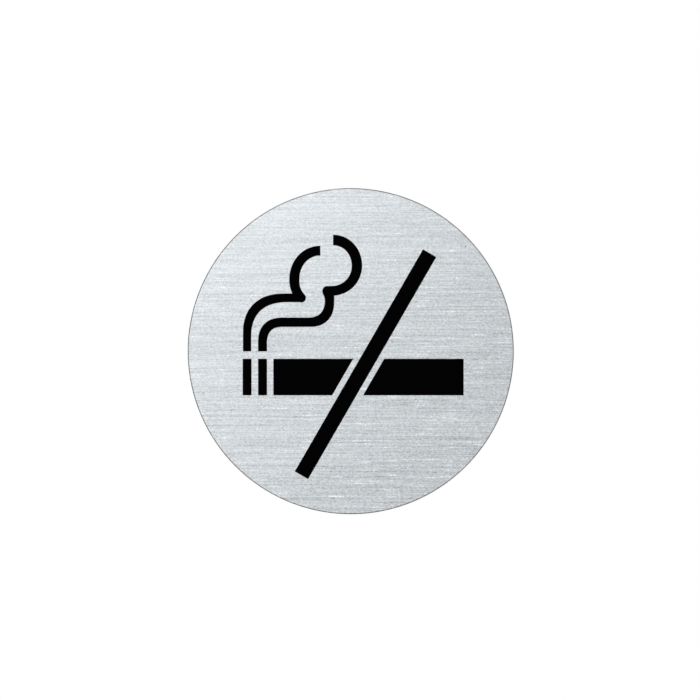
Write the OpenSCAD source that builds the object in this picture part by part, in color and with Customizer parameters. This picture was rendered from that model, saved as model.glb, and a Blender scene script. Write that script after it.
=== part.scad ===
// Round no smoking sign: a brushed steel plate with an etched pictogram
// filled with black enamel, and a foam adhesive pad on its back.
// X runs to the right, Z is up and the face looks along -Y.
// The middle of the pad's rear face is the origin, on the wall's surface.

/* [Plate] */
// Diameter of the round plate
plate_d = 75; // [72:0.5:120]
// Thickness of the sheet
plate_t = 1; // [0.6:0.1:3]
// Radius of the rounded front edge
front_edge_r = 0.25; // [0.05:0.05:0.4]
// Chamfer that breaks the rear edge
rear_edge_c = 0.1; // [0.05:0.05:0.15]

/* [Etching and enamel] */
// Depth of the etched pockets
etch_depth = 0.2; // [0.1:0.01:0.4]
// How far the enamel lies below the plate's face
enamel_sink = 0.03; // [0.01:0.01:0.05]

/* [Adhesive pad] */
// Thickness of the foam pad
pad_t = 1; // [0.4:0.1:3]
// From the plate's edge to the pad's edge
pad_inset = 3; // [1:0.5:15]

/* [Prohibition bar] */
// Length of the bar
bar_len = 58.95; // [52:0.05:62]
// Width of the bar
bar_w = 3.55; // [2:0.05:5]
// Lean of the bar from upright, towards the right
bar_tilt = 30; // [25:1:40]
// Bar's middle, to the right of the plate's middle
bar_x = 3.4; // [1:0.1:5]
// Bar's middle, above the plate's middle
bar_z = -3; // [-4:0.1:0]
// Clear steel between the bar and the cigarette
bar_gap = 1.3; // [0.8:0.05:2.5]

/* [Cigarette] */
// Length from the outer ash stripe to the mouth end
cigarette_len = 50.8; // [47:0.05:52]
// Height of the cigarette
cigarette_h = 8.4; // [6:0.05:10]
// Lit end, to the left of the plate's middle
lit_end_x = 24.85; // [23:0.05:26]
// Underside of the cigarette, below the plate's middle
cigarette_drop = 10.15; // [8:0.05:12]
// Width of each ash stripe
stripe_w = 2.05; // [1:0.05:2.2]
// Clear steel between the two stripes
stripe_gap = 1.5; // [1:0.05:2]
// Clear steel between the inner stripe and the cigarette's body
body_gap = 1.45; // [0.8:0.05:3]

/* [Smoke] */
// Clear steel between the cigarette and the feet of the smoke
foot_gap = 1.7; // [1:0.05:3]
// Handle length of the stems' bends, as a share of their chord
stem_tension = 0.45; // [0.35:0.01:0.5]
// Handle length of the curls' bends, as a share of their chord
curl_tension = 0.4; // [0.33:0.01:0.45]

/* [Outer smoke strand] */
// Width of the upright stem
outer_stem_w = 1.9; // [1.4:0.05:2.1]
// Width of the level run
outer_run_w = 2; // [1.4:0.05:2.2]
// How much the bend between them swells
outer_swell = 0.3; // [0:0.05:0.4]
// Height at which the stem starts to bend
outer_bend_h = 3.95; // [1:0.05:6]
// How far the bend carries the stem to the right
outer_bend_reach = 8.7; // [7:0.05:9]
// Height of the level run over the foot
outer_run_h = 12.3; // [11.5:0.05:13]
// From the stem to the kink
outer_kink_reach = 12.45; // [12:0.05:13]
// Heading in which the curl leaves the kink
outer_kink_heading = 132; // [120:1:140]
// Width of the curl at the kink
outer_root_w = 2.15; // [1.6:0.05:2.4]
// From the stem to the curl's belly
outer_belly_reach = 10.85; // [10.5:0.05:11.5]
// Height of the belly over the foot
outer_belly_h = 16.55; // [15.5:0.05:17.5]
// Width of the curl at its belly
outer_belly_w = 2.35; // [1.6:0.05:2.6]
// From the stem to the curl's cut end
outer_tip_reach = 16.85; // [15.5:0.05:17]
// Height of the cut end over the foot
outer_tip_h = 23.15; // [22:0.05:24.5]
// Width of the curl at its cut end
outer_tip_w = 2.25; // [1.6:0.05:2.6]

/* [Inner smoke strand] */
// Width of the lower stem
inner_stem_w = 2.05; // [1.5:0.05:2.2]
// Width of the level run and of the upper stem
inner_run_w = 2.15; // [1.5:0.05:2.3]
// How much the lower bend swells
inner_swell = 0.1; // [0:0.05:0.3]
// How much the upper bend swells
inner_upper_swell = 0.2; // [0:0.05:0.3]
// Height at which the stem starts to bend
inner_bend_h = 2.15; // [1:0.05:3]
// How far the lower bend carries the stem to the right
inner_bend_reach = 4.4; // [4:0.05:5]
// Height of the level run over the foot
inner_run_h = 6.7; // [6:0.05:7]
// From the lower stem to the start of the upper bend
inner_run_reach = 10.75; // [9.5:0.05:11.5]
// From the lower stem to the upper stem
inner_rise_reach = 15.4; // [15:0.05:16]
// Height at which the upper stem is upright
inner_rise_h = 11.5; // [10.8:0.05:12]
// From the lower stem to the kink
inner_kink_reach = 14.85; // [14.5:0.05:15.2]
// Height of the kink over the foot
inner_kink_h = 13.9; // [13.6:0.05:14.5]
// Heading in which the upper stem meets the kink
inner_kink_heading = 120; // [105:1:130]
// Width of the upper stem at the kink
inner_kink_w = 2.45; // [1.8:0.05:2.5]
// From the lower stem to the start of the curl's bend
inner_curl_reach = 15.85; // [15.5:0.05:16.5]
// Width of the curl at the kink
inner_root_w = 2.25; // [1.7:0.05:2.4]
// From the lower stem to the curl's belly
inner_belly_reach = 21.7; // [21:0.05:22.5]
// Height of the belly over the foot
inner_belly_h = 19.7; // [19:0.05:20.5]
// Width of the curl at its belly
inner_belly_w = 2.4; // [1.7:0.05:2.6]
// From the lower stem to the curl's cut end
inner_tip_reach = 16.2; // [15.9:0.05:17]
// Height of the cut end over the foot
inner_tip_h = 25.6; // [25.1:0.05:27]
// Width of the curl at its cut end
inner_tip_w = 2.45; // [1.7:0.05:2.6]

/* [Hidden] */

plate_r = plate_d / 2;
pad_d = plate_d - 2 * pad_inset;
// Heights over the wall: the plate's rear face, its front face, and the enamel
plate_rear = pad_t;
plate_front = pad_t + plate_t;
pocket_floor = plate_front - etch_depth;
enamel_t = etch_depth - enamel_sink;
// How far a cutter stands out of the face that it cuts
cut_over = 1;

// Pictogram lines, from the plate's middle
cigarette_bottom = -cigarette_drop;
cigarette_top = cigarette_bottom + cigarette_h;
outer_stripe_x = -lit_end_x;
inner_stripe_x = outer_stripe_x + stripe_w + stripe_gap;
body_x = inner_stripe_x + stripe_w + body_gap;
mouth_end_x = outer_stripe_x + cigarette_len;
foot_z = cigarette_top + foot_gap;
outer_stem_x = outer_stripe_x + stripe_w / 2;
inner_stem_x = inner_stripe_x + stripe_w / 2;

// Headings of the smoke strands
right = 0;
up = 90;
left = 180;
// Steps along each bend and round a stroke's start
bend_steps = 14;
cap_steps = 9;
$fn = 180;

// A smoke strand is a pen stroke whose width changes along its path.

// A station is [x, z, heading, width] and a rib is [middle, direction, width].
function place(s) = [s[0], s[1]];
function towards(heading) = [cos(heading), sin(heading)];
function rib(s) = [place(s), towards(s[2]), s[3]];

// Ribs of a cubic bend from station a to station b
function bend(a, b, tension, swell = 0) =
    let (reach = tension * norm(place(b) - place(a)))
    let (pull_a = place(a) + reach * towards(a[2]))
    let (pull_b = place(b) - reach * towards(b[2]))
    [for (i = [0:bend_steps]) let (t = i / bend_steps, u = 1 - t) [
        u^3 * place(a) + 3 * u^2 * t * pull_a + 3 * u * t^2 * pull_b + t^3 * place(b),
        bend_direction(a, b, pull_a, pull_b, t),
        u * a[3] + t * b[3] + 4 * u * t * swell
    ]];

function bend_direction(a, b, pull_a, pull_b, t) =
    let (u = 1 - t)
    let (run = u^2 * (pull_a - place(a)) + 2 * u * t * (pull_b - pull_a)
        + t^2 * (place(b) - pull_b))
    run / norm(run);

// Ribs that round off the start of a stroke behind station s
function round_start(s) = [for (i = [1:cap_steps])
    let (angle = 90 * (i - 0.5) / cap_steps)
    [place(s) - s[3] / 2 * cos(angle) * towards(s[2]), towards(s[2]), s[3] * sin(angle)]];

// The point half a width to one side of a rib
function edge(rib, side) = rib[0] + side * rib[2] / 2 * [-rib[1][1], rib[1][0]];

module pen_stroke(ribs) {
    last = len(ribs) - 1;
    polygon([
        for (i = [0:last]) edge(ribs[i], 1),
        for (i = [last:-1:0]) edge(ribs[i], -1)
    ]);
}

// Flat outlines of the pictogram, x to the right and y up

module prohibition_bar_outline() {
    translate([bar_x, bar_z]) rotate(-bar_tilt) square([bar_w, bar_len], center = true);
}

// Where the clear edge beside the bar stands at height z: side -1 left, 1 right
function clear_edge_x(z, side) =
    bar_x + (z - bar_z) * tan(bar_tilt) + side * (bar_w / 2 + bar_gap) / cos(bar_tilt);

module cigarette_lit_end_outline() {
    polygon([
        [body_x, cigarette_bottom],
        [clear_edge_x(cigarette_bottom, -1), cigarette_bottom],
        [clear_edge_x(cigarette_top, -1), cigarette_top],
        [body_x, cigarette_top]
    ]);
}

module cigarette_mouth_end_outline() {
    polygon([
        [clear_edge_x(cigarette_bottom, 1), cigarette_bottom],
        [mouth_end_x, cigarette_bottom],
        [mouth_end_x, cigarette_top],
        [clear_edge_x(cigarette_top, 1), cigarette_top]
    ]);
}

module ash_stripe_outline(x) {
    translate([x, cigarette_bottom]) square([stripe_w, cigarette_h]);
}

module smoke_strand_outer_outline() {
    foot = [outer_stem_x, foot_z, up, outer_stem_w];
    bend_start = [outer_stem_x, foot_z + outer_bend_h, up, outer_stem_w];
    run_start = [outer_stem_x + outer_bend_reach, foot_z + outer_run_h, right, outer_run_w];
    kink = [outer_stem_x + outer_kink_reach, foot_z + outer_run_h, right, outer_run_w];
    root = [kink[0], kink[1], outer_kink_heading, outer_root_w];
    belly = [outer_stem_x + outer_belly_reach, foot_z + outer_belly_h, up, outer_belly_w];
    tip = [outer_stem_x + outer_tip_reach, foot_z + outer_tip_h, right, outer_tip_w];

    pen_stroke(concat(
        [rib(foot)], bend(bend_start, run_start, stem_tension, outer_swell), [rib(kink)]
    ));
    pen_stroke(concat(
        round_start(root), bend(root, belly, curl_tension), bend(belly, tip, curl_tension)
    ));
}

module smoke_strand_inner_outline() {
    foot = [inner_stem_x, foot_z, up, inner_stem_w];
    bend_start = [inner_stem_x, foot_z + inner_bend_h, up, inner_stem_w];
    run_start = [inner_stem_x + inner_bend_reach, foot_z + inner_run_h, right, inner_run_w];
    run_end = [inner_stem_x + inner_run_reach, foot_z + inner_run_h, right, inner_run_w];
    rise = [inner_stem_x + inner_rise_reach, foot_z + inner_rise_h, up, inner_run_w];
    kink = [
        inner_stem_x + inner_kink_reach, foot_z + inner_kink_h,
        inner_kink_heading, inner_kink_w
    ];
    root = [kink[0], kink[1], right, inner_root_w];
    curl_start = [inner_stem_x + inner_curl_reach, kink[1], right, inner_root_w];
    belly = [inner_stem_x + inner_belly_reach, foot_z + inner_belly_h, up, inner_belly_w];
    tip = [inner_stem_x + inner_tip_reach, foot_z + inner_tip_h, left, inner_tip_w];

    pen_stroke(concat(
        [rib(foot)], bend(bend_start, run_start, stem_tension, inner_swell),
        bend(run_end, rise, stem_tension, inner_upper_swell),
        bend(rise, kink, curl_tension)
    ));
    pen_stroke(concat(
        round_start(root), [rib(root)],
        bend(curl_start, belly, curl_tension), bend(belly, tip, curl_tension)
    ));
}

module pictogram() {
    prohibition_bar_outline();
    cigarette_lit_end_outline();
    cigarette_mouth_end_outline();
    ash_stripe_outline(outer_stripe_x);
    ash_stripe_outline(inner_stripe_x);
    smoke_strand_outer_outline();
    smoke_strand_inner_outline();
}

// Stands what lies flat, built up from the wall, on the wall with its face to -Y
module on_wall() {
    rotate([90, 0, 0]) children();
}

// Black enamel that fills one pocket
module enamel() {
    color("#050506") on_wall() translate([0, 0, pocket_floor])
        linear_extrude(height = enamel_t) children();
}

// Half section of the disc, from its middle out to its rim
module plate_section() {
    polygon([
        [0, 0], [plate_r - rear_edge_c, 0], [plate_r, rear_edge_c],
        [plate_r, plate_t - front_edge_r], [plate_r - front_edge_r, plate_t], [0, plate_t]
    ]);
    translate([plate_r - front_edge_r, plate_t - front_edge_r]) circle(r = front_edge_r);
}

module plate() {
    color("#d0d5d9") on_wall() difference() {
        translate([0, 0, plate_rear]) rotate_extrude() plate_section();
        translate([0, 0, pocket_floor])
            linear_extrude(height = etch_depth + cut_over) pictogram();
    }
}

module adhesive_pad() {
    color("#e9e7e0") on_wall() cylinder(h = pad_t, d = pad_d);
}

plate();
enamel() prohibition_bar_outline();  // prohibition_bar
enamel() cigarette_lit_end_outline();  // cigarette_lit_end
enamel() cigarette_mouth_end_outline();  // cigarette_mouth_end
enamel() ash_stripe_outline(outer_stripe_x);  // ash_stripe_outer
enamel() ash_stripe_outline(inner_stripe_x);  // ash_stripe_inner
enamel() smoke_strand_outer_outline();  // smoke_strand_outer
enamel() smoke_strand_inner_outline();  // smoke_strand_inner
adhesive_pad();
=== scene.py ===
import math

import bpy
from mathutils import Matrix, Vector


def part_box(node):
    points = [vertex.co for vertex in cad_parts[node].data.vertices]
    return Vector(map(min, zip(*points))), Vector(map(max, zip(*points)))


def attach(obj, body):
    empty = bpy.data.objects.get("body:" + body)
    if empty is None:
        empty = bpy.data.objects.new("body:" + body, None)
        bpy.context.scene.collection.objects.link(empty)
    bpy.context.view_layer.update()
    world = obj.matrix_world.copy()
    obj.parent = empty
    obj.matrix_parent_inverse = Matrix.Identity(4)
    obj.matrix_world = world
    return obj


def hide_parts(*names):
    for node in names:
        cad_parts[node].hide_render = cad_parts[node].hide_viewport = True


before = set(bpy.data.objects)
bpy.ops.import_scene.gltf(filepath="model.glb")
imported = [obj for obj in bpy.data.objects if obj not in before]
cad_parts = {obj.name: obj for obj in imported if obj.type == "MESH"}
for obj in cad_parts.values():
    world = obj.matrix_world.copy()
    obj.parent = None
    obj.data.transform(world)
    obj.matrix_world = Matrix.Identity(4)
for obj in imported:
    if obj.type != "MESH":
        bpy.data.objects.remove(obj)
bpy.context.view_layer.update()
print("frame loaded:", ", ".join(sorted(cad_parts)))

mm = 0.001
scene = bpy.context.scene
scene.view_settings.view_transform = "Standard"

# Sizes and places from the frame. The face looks along -Y and the wall is at the pad's rear.
plateLow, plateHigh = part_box("plate")
padLow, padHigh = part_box("adhesive_pad")
plateRadius = (plateHigh.x - plateLow.x) / 2
padRadius = (padHigh.x - padLow.x) / 2
faceY, rearY = plateLow.y, plateHigh.y


def linear(hexColour):
    channels = [int(hexColour[i:i + 2], 16) / 255 for i in (1, 3, 5)]
    return [c / 12.92 if c <= 0.04045 else ((c + 0.055) / 1.055) ** 2.4 for c in channels] + [1]


# Adds a node with its settings and its inputs, in order as a list or by name. Only sockets in use
# count, and a node given as an input stands for its first output in use.
def addNode(tree, kind, inputs=(), **settings):
    node = tree.nodes.new("ShaderNode" + kind)
    for name, value in settings.items():
        setattr(node, name, value)
    sockets = [socket for socket in node.inputs if socket.enabled]
    if isinstance(inputs, dict):
        sockets = [next(socket for socket in sockets if socket.name == name) for name in inputs]
        inputs = inputs.values()
    for socket, value in zip(sockets, inputs):
        if isinstance(value, bpy.types.Node):
            value = next(output for output in value.outputs if output.enabled)
        if isinstance(value, bpy.types.NodeSocket):
            tree.links.new(value, socket)
        else:
            socket.default_value = value
    return node


def newMaterial(name):
    material = bpy.data.materials.new(name)
    material.use_nodes = True
    material.node_tree.nodes.clear()
    return material, material.node_tree


def giveMaterial(piece, material):
    piece.data.materials.clear()
    piece.data.materials.append(material)


def deselectAll():
    if bpy.context.object and bpy.context.object.mode != "OBJECT":
        bpy.ops.object.mode_set(mode="OBJECT")
    bpy.ops.object.select_all(action="DESELECT")


# Camera, straight on, as the photo was taken
camera = {
    "lens": 100, "sensor": 36,
    "frameWidth": 160.9 * mm,  # what 700 pixels take in at the face
    "aimX": -0.172 * mm, "aimZ": 0.268 * mm,  # the disc sits a little off the middle
    "clipStart": 10 * mm,
}
cameraDistance = camera["frameWidth"] * camera["lens"] / camera["sensor"]
bpy.ops.object.camera_add(
    location=(camera["aimX"], faceY - cameraDistance, camera["aimZ"]),
    rotation=(math.pi / 2, 0, 0),
)
scene.camera = bpy.context.object
scene.camera.data.lens = camera["lens"]
scene.camera.data.sensor_width = camera["sensor"]
scene.camera.data.clip_start = camera["clipStart"]
print("camera at", round(cameraDistance, 3), "m")


# Studio: a pale world that looks white, a pale floor well below the sign, and soft boxes
studio = {
    "white": "#FFFFFF",
    "world": "#F4F5F6", "worldStrength": 0.72,
    "floor": "#F2F2F0", "floorDrop": 300 * mm, "floorSize": 1600 * mm,
    "floorWhite": 0.9,  # how white the floor looks under the sign
    "whiteFrom": 250 * mm, "whiteTo": 750 * mm,  # it turns all white before its edge
    "lamps": [
        {"name": "key softbox", "at": (-0.135, -0.60, 0.50), "size": 0.42, "watts": 3.52},
        {"name": "low softbox", "at": (-0.32, -0.60, -0.20), "size": 0.42, "watts": 0.86},
        {"name": "fill softbox", "at": (0.70, -0.50, 0.10), "size": 0.50, "watts": 1.6},
        {"name": "back softbox", "at": (0.30, 0.70, 0.45), "size": 0.50, "watts": 2.4},
    ],
}


# 1 where the camera, metal or something clear sees a surface, and 0 where the surface gives light
def seenDirectly(tree):
    rays = addNode(tree, "LightPath").outputs
    seen = addNode(tree, "Math", [rays["Is Camera Ray"], rays["Is Glossy Ray"]], operation="MAXIMUM")
    return addNode(tree, "Math", [seen, rays["Is Transmission Ray"]], operation="MAXIMUM")


def paleWorld():
    world = bpy.data.worlds.new("studio")
    world.use_nodes = True
    tree = world.node_tree
    tree.nodes.clear()
    pale = addNode(tree, "Background", [linear(studio["world"]), studio["worldStrength"]])
    white = addNode(tree, "Background", [linear(studio["white"]), 1])
    both = addNode(tree, "MixShader", [seenDirectly(tree), pale, white])
    addNode(tree, "OutputWorld", {"Surface": both})
    return world


# Matt paint, which shows white but for a share that keeps the sign's soft shadow
def mattFloor():
    material, tree = newMaterial("pale matt floor")
    place = addNode(tree, "TexCoord").outputs["Object"]
    away = addNode(tree, "VectorMath", [place], operation="LENGTH")
    share = addNode(
        tree, "MapRange", [away, studio["whiteFrom"], studio["whiteTo"], studio["floorWhite"], 1],
        interpolation_type="SMOOTHSTEP")
    share = addNode(tree, "Math", [share, seenDirectly(tree)], operation="MULTIPLY")
    paint = addNode(tree, "BsdfDiffuse", [linear(studio["floor"])])
    white = addNode(tree, "Emission", [linear(studio["white"]), 1])
    both = addNode(tree, "MixShader", [share, paint, white])
    addNode(tree, "OutputMaterial", {"Surface": both})
    return material


scene.world = paleWorld()

deselectAll()
bpy.ops.mesh.primitive_plane_add(
    size=studio["floorSize"], location=(0, 0, plateLow.z - studio["floorDrop"]))
floor = bpy.context.object
floor.name = "floor"
giveMaterial(floor, mattFloor())

for lamp in studio["lamps"]:
    bpy.ops.object.light_add(type="AREA", location=lamp["at"])
    light = bpy.context.object
    light.name = lamp["name"]
    light.rotation_euler = (-Vector(lamp["at"])).to_track_quat("-Z", "Y").to_euler()
    light.data.size = lamp["size"]
    light.data.energy = lamp["watts"]
print("studio ready:", len(studio["lamps"]), "soft boxes")


# Stainless steel sheet, brushed on its face to a No. 4 finish: a belt drawn along X leaves fine
# one-way scratches, which spread each highlight across themselves. The disc was punched out, so
# its edge shows cut metal, and its rear is left as it was rolled, a soft dull grey.
plate = {
    "face": {
        "colour": "#B4B8BB", "roughness": 0.36,
        # Length along X, width across it, and how far each layer lightens and darkens the steel.
        # Real scratches are about 0.05 mm wide. These are as fine as the render can show.
        "scratches": [
            {"length": 21.0 * mm, "width": 0.27 * mm, "weight": 0.94},
            {"length": 0.40 * mm, "width": 0.26 * mm, "weight": 1.32},
            {"length": 40.0 * mm, "width": 2.4 * mm, "weight": 0.08},
        ],
        # single deep scratches catch the light as pale dashes
        "dashes": {"length": 6.5 * mm, "width": 0.25 * mm, "weight": 0.41, "aside": (41, 17, 29)},
        "dashFrom": 0.63, "dashTo": 0.75,  # the noise where a dash starts and is palest
        # painted sheen: the grain is painted fainter towards the upper left, where the key light's
        # sheen washes it out, and strongest low on the right
        "sheenFade": {"least": 0.57, "most": 0.83, "towards": (0.35, 0, -0.94)},
        "strays": 3.6,  # how much further the palest and darkest scratches stand out
        "speck": {"x": 26.37 * mm, "z": 24.05 * mm, "size": 0.18 * mm, "tone": 0.02},
    },
    "edge": {
        # the rolled rim's colour is painted darker than the steel: painted shade, which draws a thin
        # dark line round the face
        "rolled": "#686A6C", "sheared": "#85888B", "torn": "#616365", "roughness": 0.62,
        "shadedRim": 0.24 * mm, "rollEnd": 0.26 * mm,  # the width of the rolled rim on the face, painted dark as shade, and how far back it goes
        "shearedShare": 0.5,  # of the thickness, from the face
        "waver": {"length": 1.2 * mm, "reach": 0.12 * mm, "aside": (2, 9, 6)},  # where it tore
        "lines": {"width": 0.14 * mm, "length": 4 * mm, "weight": 0.8, "aside": (11, 0, 4)},
        "lineDepth": 0.6,  # of a scratch's
        "blur": 0.04 * mm, "fineBlur": 0.02 * mm,  # how softly the bands meet
    },
    "rear": {
        "colour": "#B3B6B8", "roughness": 0.3,
        "layers": [
            {"length": 22.0 * mm, "width": 0.35 * mm, "weight": 0.34},  # lines from the rolls
            {"length": 6.0 * mm, "width": 3.0 * mm, "weight": 0.22},  # a soft mottle
        ],
    },
    "anisotropic": 0.6, "bump": 0.25, "scratchDepth": 0.02 * mm,
    "gloss": 0.25,  # how much less rough a pale scratch is
    "patternSteps": (7.3, 3.1, 5.7),  # set each layer aside, so that no two are alike
}
screenGamma = 2.2  # evens out how far a tone lightens and darkens the picture


# Noise drawn out to a size along X, Y and Z
def drawnNoise(tree, place, size, aside=(0, 0, 0), detail=0):
    drawn = addNode(tree, "Mapping", {
        "Vector": place, "Location": aside, "Scale": [1 / each for each in size],
    })
    return addNode(tree, "TexNoise", {"Vector": drawn, "Scale": 1, "Detail": detail})


# Adds up layers of lines along X as a tone around 0, which lightens the steel above 0
def streakTone(tree, place, layers, start, detail):
    tone = 0
    for number, layer in enumerate(layers, start):
        aside = [number * step for step in plate["patternSteps"]]
        size = (layer["length"], layer["width"], layer["width"])
        noise = drawnNoise(tree, place, size, aside, detail)
        centred = addNode(tree, "Math", [noise, 0.5], operation="SUBTRACT")  # noise runs 0 to 1
        tone = addNode(tree, "Math", [centred, layer["weight"], tone], operation="MULTIPLY_ADD")
    return tone


def brushedTone(tree, place):
    face = plate["face"]
    tone = streakTone(tree, place, face["scratches"], start=0, detail=1)

    dashes = face["dashes"]
    size = (dashes["length"], dashes["width"], dashes["width"])
    noise = drawnNoise(tree, place, size, dashes["aside"])
    pale = addNode(
        tree, "MapRange", [noise, face["dashFrom"], face["dashTo"], 0, dashes["weight"]])
    tone = addNode(tree, "Math", [tone, pale], operation="ADD")

    # painted sheen: scales the grain and the dashes down towards the upper left, where the key light
    # washes them out
    sheenFade = face["sheenFade"]
    lower = addNode(tree, "VectorMath", [place, sheenFade["towards"]], operation="DOT_PRODUCT")
    depth = addNode(
        tree, "MapRange", [lower, -plateRadius, plateRadius, sheenFade["least"], sheenFade["most"]])
    tone = addNode(tree, "Math", [tone, depth], operation="MULTIPLY")
    squared = addNode(tree, "Math", [tone, tone], operation="MULTIPLY")
    further = addNode(tree, "Math", [squared, face["strays"], 1], operation="MULTIPLY_ADD")
    return addNode(tree, "Math", [tone, further], operation="MULTIPLY")


# The punched edge is rolled over at the face, where its colour is painted dark as shade, then
# sheared bright, then torn dull
def cutColour(tree, place, back, side):
    edge = plate["edge"]
    waver = edge["waver"]
    size = (waver["length"], math.inf, waver["length"])  # alike all through the thickness
    noise = drawnNoise(tree, place, size, waver["aside"], detail=2)
    tearY = faceY + edge["shearedShare"] * (rearY - faceY)
    tearFrom = addNode(
        tree, "Math", [noise, 2 * waver["reach"], tearY - waver["reach"]], operation="MULTIPLY_ADD")
    behind = addNode(tree, "Math", [back, tearFrom], operation="SUBTRACT")
    torn = addNode(tree, "MapRange", [behind, -edge["fineBlur"], edge["fineBlur"]])
    colour = addNode(
        tree, "Mix", [torn, linear(edge["sheared"]), linear(edge["torn"])], data_type="RGBA")
    # the rolled rim, in its colour darkened by painted shade
    return addNode(tree, "Mix", [side, linear(edge["rolled"]), colour], data_type="RGBA")


# The only mark on the face, a tiny dark pit
def speckTone(tree, flat):
    speck = plate["face"]["speck"]
    away = addNode(tree, "VectorMath", [flat, (speck["x"], 0, speck["z"])], operation="DISTANCE")
    return addNode(tree, "MapRange", [away, speck["size"] / 2, speck["size"], speck["tone"], 1])


def brushedSteel():
    face, edge, rear = plate["face"], plate["edge"], plate["rear"]
    material, tree = newMaterial("brushed stainless steel")
    place = addNode(tree, "TexCoord").outputs["Object"]
    along, back, up = addNode(tree, "SeparateXYZ", [place]).outputs
    flat = addNode(tree, "CombineXYZ", [along, 0, up])

    # shares of 0 to 1: the rim with the cut side, the side alone, and the rear face
    blur, fineBlur = edge["blur"], edge["fineBlur"]
    rimRadius, rollEndY = plateRadius - edge["shadedRim"], faceY + edge["rollEnd"]
    radius = addNode(tree, "VectorMath", [flat], operation="LENGTH")
    atRim = addNode(tree, "MapRange", [radius, rimRadius - blur, rimRadius + blur])
    atSide = addNode(tree, "MapRange", [back, rollEndY - blur, rollEndY + blur])
    atRear = addNode(tree, "MapRange", [back, rearY - fineBlur, rearY - fineBlur / 2])
    notRear = addNode(tree, "Math", [1, atRear], operation="SUBTRACT")

    # the two faces
    tone = addNode(tree, "Math", [brushedTone(tree, place), notRear], operation="MULTIPLY")
    rolled = streakTone(tree, place, rear["layers"], start=len(face["scratches"]), detail=2)
    tone = addNode(tree, "Math", [rolled, atRear, tone], operation="MULTIPLY_ADD")
    light = addNode(tree, "Math", [tone, 1 / screenGamma, 1], operation="MULTIPLY_ADD")
    light = addNode(tree, "Math", [light, screenGamma], operation="POWER")
    speck = addNode(tree, "Mix", [atRear, speckTone(tree, flat), 1], data_type="FLOAT")
    light = addNode(tree, "Math", [light, speck], operation="MULTIPLY")
    colour = addNode(
        tree, "Mix", [atRear, linear(face["colour"]), linear(rear["colour"])], data_type="RGBA")
    roughness = addNode(
        tree, "Mix", [atRear, face["roughness"], rear["roughness"]], data_type="FLOAT")
    roughness = addNode(tree, "Math", [tone, -plate["gloss"], roughness], operation="MULTIPLY_ADD")

    # the cut edge, with the lines that the punch drew across its thickness
    lines = edge["lines"]
    size = (lines["width"], lines["length"], lines["width"])
    noise = drawnNoise(tree, place, size, lines["aside"], detail=1)
    scored = addNode(
        tree, "Math", [noise, lines["weight"], 1 - lines["weight"] / 2], operation="MULTIPLY_ADD")
    scored = addNode(tree, "Mix", [atSide, light, scored], data_type="FLOAT")
    cut = cutColour(tree, place, back, atSide)
    colour = addNode(tree, "Mix", [atRim, colour, cut], data_type="RGBA")
    light = addNode(tree, "Mix", [atRim, light, scored], data_type="FLOAT")
    roughness = addNode(tree, "Mix", [atRim, roughness, edge["roughness"]], data_type="FLOAT")
    height = addNode(tree, "Math", [noise, atRim], operation="MULTIPLY")
    height = addNode(tree, "Math", [height, edge["lineDepth"], tone], operation="MULTIPLY_ADD")

    bump = addNode(tree, "Bump", {
        "Strength": plate["bump"], "Distance": plate["scratchDepth"], "Height": height,
    })
    acrossGrain = addNode(tree, "CombineXYZ", [0, 0, 1])  # the way that highlights spread
    shader = addNode(tree, "BsdfPrincipled", {
        "Base Color": addNode(tree, "VectorMath", [colour, light], operation="SCALE"),
        "Metallic": 1, "Roughness": roughness, "Anisotropic": plate["anisotropic"],
        "Tangent": acrossGrain, "Normal": bump,
    })
    addNode(tree, "OutputMaterial", {"Surface": shader})
    return material


giveMaterial(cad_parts["plate"], brushedSteel())
print("steel plate dressed")


# Black stoving enamel, baked smooth in its pockets: deep, with next to no shine
enamel = {
    "colour": "#010101", "roughness": 0.38, "specular": 0.006,
    "peel": 0.9 * mm, "peelBump": 0.15, "peelDepth": 0.01 * mm,  # a slight orange peel
    "least": 0.8, "most": 1.2,  # of the colour, over the peel
    "nodes": [
        "prohibition_bar", "cigarette_lit_end", "cigarette_mouth_end", "ash_stripe_outer",
        "ash_stripe_inner", "smoke_strand_outer", "smoke_strand_inner",
    ],
}


def blackEnamel():
    material, tree = newMaterial("black stoving enamel")
    place = addNode(tree, "TexCoord").outputs["Object"]
    peel = drawnNoise(tree, place, [enamel["peel"]] * 3, detail=2)
    tint = addNode(tree, "MapRange", [peel, 0, 1, enamel["least"], enamel["most"]])
    bump = addNode(tree, "Bump", {
        "Strength": enamel["peelBump"], "Distance": enamel["peelDepth"], "Height": peel,
    })
    shader = addNode(tree, "BsdfPrincipled", {
        "Base Color": addNode(
            tree, "VectorMath", [linear(enamel["colour"])[:3], tint], operation="SCALE"),
        "Roughness": enamel["roughness"], "Specular IOR Level": enamel["specular"],
        "Normal": bump,
    })
    addNode(tree, "OutputMaterial", {"Surface": shader})
    return material


blackFinish = blackEnamel()
for name in enamel["nodes"]:
    giveMaterial(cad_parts[name], blackFinish)
print("enamel dressed:", len(enamel["nodes"]), "fields")


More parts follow.
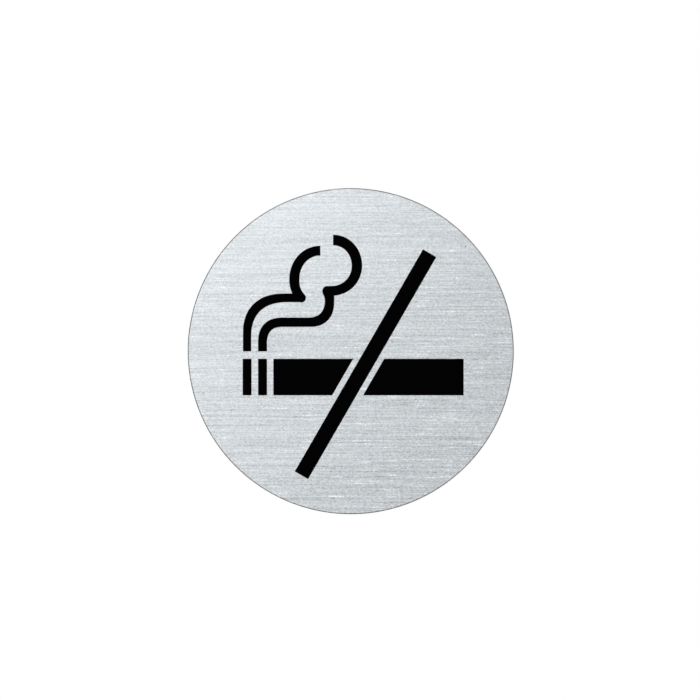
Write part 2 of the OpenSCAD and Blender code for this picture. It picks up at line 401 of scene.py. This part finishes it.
# White closed-cell foam, die-cut, under a tacky skin of adhesive: pale and matt with fine cells,
# whose pits are painted darker as shade, and a shine that ripples
pad = {
    "sides": 360, "sideSteps": 6, "ringStep": 0.6 * mm,
    "waist": 0.06 * mm,  # how far the cut foam draws in between its skins
    "dents": [
        {"name": "waves", "size": 11 * mm, "depth": 0.05 * mm},
        {"name": "dimples", "size": 1.5 * mm, "depth": 0.03 * mm},
    ],
    "smoothBelow": math.radians(40),
    "foam": {
        # the pit colour is painted shade in the middle of each cell
        "colour": "#EAE9E4", "pit": "#CFCDC5", "roughness": 0.6,
        "cell": 0.36 * mm, "wallFrom": 0.15, "wallTo": 0.75,  # of a cell, from its middle out, where the painted shade of the pit turns into the wall's colour
        "bump": 0.6, "depth": 0.05 * mm,
        "patch": 9 * mm, "patchWeight": 0.6,  # a soft mottle
    },
    "skin": {
        "weight": 0.6, "roughness": 0.15, "ripple": 2.5 * mm, "bump": 0.5, "depth": 0.12 * mm,
    },
}


def closedCellFoam():
    foam, skin = pad["foam"], pad["skin"]
    material, tree = newMaterial("white closed-cell foam")
    place = addNode(tree, "TexCoord").outputs["Object"]
    cells = addNode(tree, "TexVoronoi", {"Vector": place, "Scale": 1 / foam["cell"]}, feature="F1")
    # painted shade: darker in each cell's pit, paler on its walls and in a soft mottle
    walls = addNode(tree, "MapRange", [cells, foam["wallFrom"], foam["wallTo"]])
    patches = drawnNoise(tree, place, [foam["patch"]] * 3, detail=3)
    pale = addNode(tree, "Math", [patches, foam["patchWeight"], walls], operation="MULTIPLY_ADD")
    colour = addNode(
        tree, "Mix", [pale, linear(foam["pit"]), linear(foam["colour"])], data_type="RGBA")
    pitted = addNode(tree, "Bump", {
        "Strength": foam["bump"], "Distance": foam["depth"], "Height": cells,
    })
    rippled = addNode(tree, "Bump", {
        "Strength": skin["bump"], "Distance": skin["depth"],
        "Height": drawnNoise(tree, place, [skin["ripple"]] * 3, detail=2),
    })
    shader = addNode(tree, "BsdfPrincipled", {
        "Base Color": colour, "Roughness": foam["roughness"], "Normal": pitted,
        "Coat Weight": skin["weight"], "Coat Roughness": skin["roughness"], "Coat Normal": rippled,
    })
    addNode(tree, "OutputMaterial", {"Surface": shader})
    return material


# Pushes a mesh inwards by noise, and never outwards, so that the pad keeps to its place
def dent(piece, name, size, depth):
    noise = bpy.data.textures.new(name, "CLOUDS")
    noise.noise_scale = size
    push = piece.modifiers.new(name, "DISPLACE")
    push.texture = noise
    push.strength = depth
    push.mid_level = 1
    bpy.ops.object.modifier_apply(modifier=name)


# A disc against the plate, drawn back to the wall in steps, and then inset ring by ring
deselectAll()
bpy.ops.mesh.primitive_circle_add(
    vertices=pad["sides"], radius=padRadius, fill_type="NGON",
    location=(0, padLow.y, 0), rotation=(-math.pi / 2, 0, 0),
)
foamPad = bpy.context.object
foamPad.name = "foam_pad"
bpy.ops.object.transform_apply(location=True, rotation=True, scale=True)
bpy.ops.object.mode_set(mode="EDIT")
step = (padHigh.y - padLow.y) / pad["sideSteps"]
width = 1
for number in range(1, pad["sideSteps"] + 1):
    drawnIn = pad["waist"] * math.sin(math.pi * number / pad["sideSteps"])
    change = (1 - drawnIn / padRadius) / width
    bpy.ops.mesh.extrude_region_move(TRANSFORM_OT_translate={"value": (0, step, 0)})
    bpy.ops.transform.resize(
        value=(change, 1, change), center_override=(0, padLow.y + number * step, 0))
    width *= change
for number in range(int(padRadius / pad["ringStep"]) - 1):  # all but a small middle
    bpy.ops.mesh.inset(thickness=pad["ringStep"])
bpy.ops.mesh.select_all(action="SELECT")
bpy.ops.mesh.normals_make_consistent(inside=False)
bpy.ops.object.mode_set(mode="OBJECT")
for each in pad["dents"]:
    dent(foamPad, each["name"], each["size"], each["depth"])
bpy.ops.object.shade_smooth_by_angle(angle=pad["smoothBelow"])
giveMaterial(foamPad, closedCellFoam())
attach(foamPad, "root")
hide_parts("adhesive_pad")
print("foam pad made:", len(foamPad.data.polygons), "faces")
